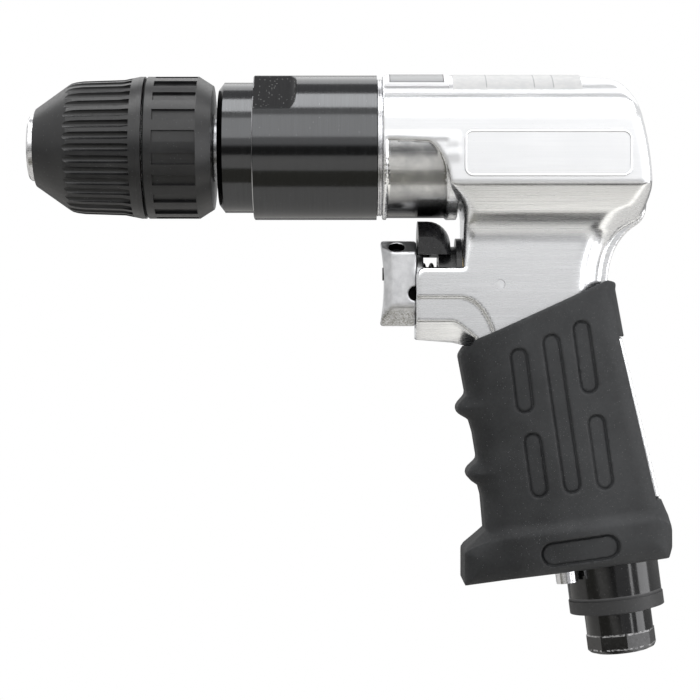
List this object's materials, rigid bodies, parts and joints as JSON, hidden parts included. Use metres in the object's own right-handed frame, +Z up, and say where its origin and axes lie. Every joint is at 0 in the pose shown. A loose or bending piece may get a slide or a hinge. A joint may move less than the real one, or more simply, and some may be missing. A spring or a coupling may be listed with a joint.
{
  "type": "air drill",
  "caption": "Pistol-grip pneumatic drill with a keyless chuck, planetary gear, vane motor, sliding trigger, reversing lever, rubber grip and threaded air inlet.",
  "frame": {"origin": "mouth of the chuck on the spindle axis", "axes": "+X along the spindle from the chuck towards the back of the housing, +Z up with the handle hanging down, Y across the symmetry plane"},
  "size_m": [0.198, 0.0446, 0.1791],
  "materials": {
    "chuck_steel": "turned steel",
    "sleeve_black": "moulded black plastic",
    "hard_steel": "ground steel",
    "bearing_steel": "polished bearing steel",
    "black_oxide": "glossy black oxide on steel",
    "bright_ring": "bright turned steel",
    "polished_aluminium": "polished casting with fine horizontal brushing",
    "plate_aluminium": "grey plate with a bright border",
    "label_white": "white film",
    "cast_satin": "satin casting",
    "iron_liner": "bored iron",
    "vane_fibre": "laminated fibre",
    "rubber_grip": "matt rubber with fine dust",
    "lever_black": "semi-gloss black plastic",
    "brass_part": "turned brass",
    "spring_steel": "spring wire",
    "black_wire": "black spring wire",
    "seal_rubber": "black nitrile",
    "felt_grey": "pressed felt",
    "gloss_black_metal": "glossy black",
    "bright_screw": "bright plated steel"
  },
  "bodies": {
    "housing": {"motor_housing": "polished_aluminium", "gear_case": "black_oxide", "ring_gear": "bright_ring", "spindle_bearing_outer_rings": "bearing_steel", "bearing_spacer": "hard_steel", "bearing_clip": "spring_steel", "motor_clamp_ring": "hard_steel", "front_end_plate": "iron_liner", "rear_end_plate": "iron_liner", "motor_cylinder": "iron_liner", "cylinder_pin": "bearing_steel", "rotor_bearing_outer_rings": "bearing_steel", "front_label_plate": "plate_aluminium", "top_label": "label_white", "passage_plug": "cast_satin", "grip_sleeve": "rubber_grip", "trigger_spring": "black_wire", "throttle_spring": "spring_steel", "throttle_seat": "brass_part", "detent_ball": "bearing_steel", "detent_spring": "spring_steel", "inlet_bushing": "gloss_black_metal", "inlet_screen": "brass_part", "bushing_washer": "hard_steel", "muffler_felt": "felt_grey", "deflector_retaining_ring": "spring_steel"},
    "spindle": {"spindle": "hard_steel", "planet_pins": "bearing_steel", "spindle_bearing_inner_rings": "bearing_steel", "chuck_body": "chuck_steel", "chuck_rear_sleeve": "sleeve_black", "chuck_thrust_washer": "hard_steel", "chuck_thrust_balls": "bearing_steel", "chuck_screw": "hard_steel"},
    "planet_1": {"planet_gear_1": "hard_steel"},
    "planet_2": {"planet_gear_2": "hard_steel"},
    "planet_3": {"planet_gear_3": "hard_steel"},
    "rotor": {"rotor": "hard_steel", "rotor_vanes": "vane_fibre", "rotor_bearing_inner_rings": "bearing_steel"},
    "spindle_balls": {"spindle_bearing_balls": "bearing_steel"},
    "rotor_balls": {"rotor_bearing_balls": "bearing_steel"},
    "sleeve": {"chuck_front_sleeve": "sleeve_black", "chuck_nut": "hard_steel"},
    "jaw_1": {"chuck_jaw_1": "hard_steel"},
    "jaw_2": {"chuck_jaw_2": "hard_steel"},
    "jaw_3": {"chuck_jaw_3": "hard_steel"},
    "trigger": {"trigger": "cast_satin", "trigger_set_screw": "black_wire", "throttle_stem": "black_wire", "throttle_poppet": "brass_part"},
    "lever": {"reverse_lever": "lever_black", "reverse_valve": "brass_part", "valve_o_rings": "seal_rubber"},
    "deflector": {"exhaust_deflector": "gloss_black_metal"},
    "regulator": {"regulator_screw": "bright_screw", "regulator_o_ring": "seal_rubber"}
  },
  "joints": [
    {"name": "spindle_spin", "type": "hinge", "parent": "housing", "child": "spindle", "pos_m": [0, 0, 0], "axis": [-1, 0, 0], "continuous": true},
    {"name": "planet_spin_1", "type": "hinge", "parent": "spindle", "child": "planet_1", "pos_m": [0.096, 0.00945, 0], "axis": [-1, 0, 0], "continuous": true},
    {"name": "planet_spin_2", "type": "hinge", "parent": "spindle", "child": "planet_2", "pos_m": [0.096, -0.00473, 0.00818], "axis": [-1, 0, 0], "continuous": true},
    {"name": "planet_spin_3", "type": "hinge", "parent": "spindle", "child": "planet_3", "pos_m": [0.096, -0.00473, -0.00818], "axis": [-1, 0, 0], "continuous": true},
    {"name": "rotor_spin", "type": "hinge", "parent": "housing", "child": "rotor", "pos_m": [0.14, 0, 0], "axis": [-1, 0, 0], "continuous": true},
    {"name": "spindle_balls_spin", "type": "hinge", "parent": "housing", "child": "spindle_balls", "pos_m": [0.07, 0, 0], "axis": [-1, 0, 0], "continuous": true},
    {"name": "rotor_balls_spin", "type": "hinge", "parent": "housing", "child": "rotor_balls", "pos_m": [0.14, 0, 0], "axis": [-1, 0, 0], "continuous": true},
    {"name": "sleeve_turn", "type": "hinge", "parent": "spindle", "child": "sleeve", "pos_m": [0.02, 0, 0], "axis": [1, 0, 0], "range_deg": [0, 3780]},
    {"name": "jaw_slide_1", "type": "slide", "parent": "spindle", "child": "jaw_1", "axis": [-0.9613, 0, -0.2756], "range_m": [0, 0.0169]},
    {"name": "jaw_slide_2", "type": "slide", "parent": "spindle", "child": "jaw_2", "axis": [-0.9613, 0.2387, 0.1378], "range_m": [0, 0.0169]},
    {"name": "jaw_slide_3", "type": "slide", "parent": "spindle", "child": "jaw_3", "axis": [-0.9613, -0.2387, 0.1378], "range_m": [0, 0.0169]},
    {"name": "trigger_slide", "type": "slide", "parent": "housing", "child": "trigger", "axis": [1, 0, 0], "range_m": [0, 0.0036], "stiffness_N_per_m": 2500, "springref_m": -0.004, "deforming": ["trigger_spring", "throttle_spring"]},
    {"name": "reverse_turn", "type": "hinge", "parent": "housing", "child": "lever", "pos_m": [0.13, 0, -0.0391], "axis": [1, 0, 0], "range_deg": [-16, 16]},
    {"name": "deflector_turn", "type": "hinge", "parent": "housing", "child": "deflector", "pos_m": [0.1815, 0, -0.1404], "axis": [0.1305, 0, -0.9914], "continuous": true},
    {"name": "regulator_turn", "type": "hinge", "parent": "housing", "child": "regulator", "pos_m": [0.16408, -0.0106, -0.12454], "axis": [0.1305, 0, -0.9914], "range_deg": [-90, 90]}
  ],
  "couplings": [
    {"joint": "planet_spin_1", "follows": "spindle_spin", "ratio": -2.5},
    {"joint": "planet_spin_2", "follows": "spindle_spin", "ratio": -2.5},
    {"joint": "planet_spin_3", "follows": "spindle_spin", "ratio": -2.5},
    {"joint": "rotor_spin", "follows": "spindle_spin", "ratio": 6},
    {"joint": "spindle_balls_spin", "follows": "spindle_spin", "ratio": 0.4},
    {"joint": "rotor_balls_spin", "follows": "spindle_spin", "ratio": 2.32},
    {"joint": "jaw_slide_1", "follows": "sleeve_turn", "m_per_rad": 0.00025465},
    {"joint": "jaw_slide_2", "follows": "sleeve_turn", "m_per_rad": 0.00025465},
    {"joint": "jaw_slide_3", "follows": "sleeve_turn", "m_per_rad": 0.00025465}
  ]
}
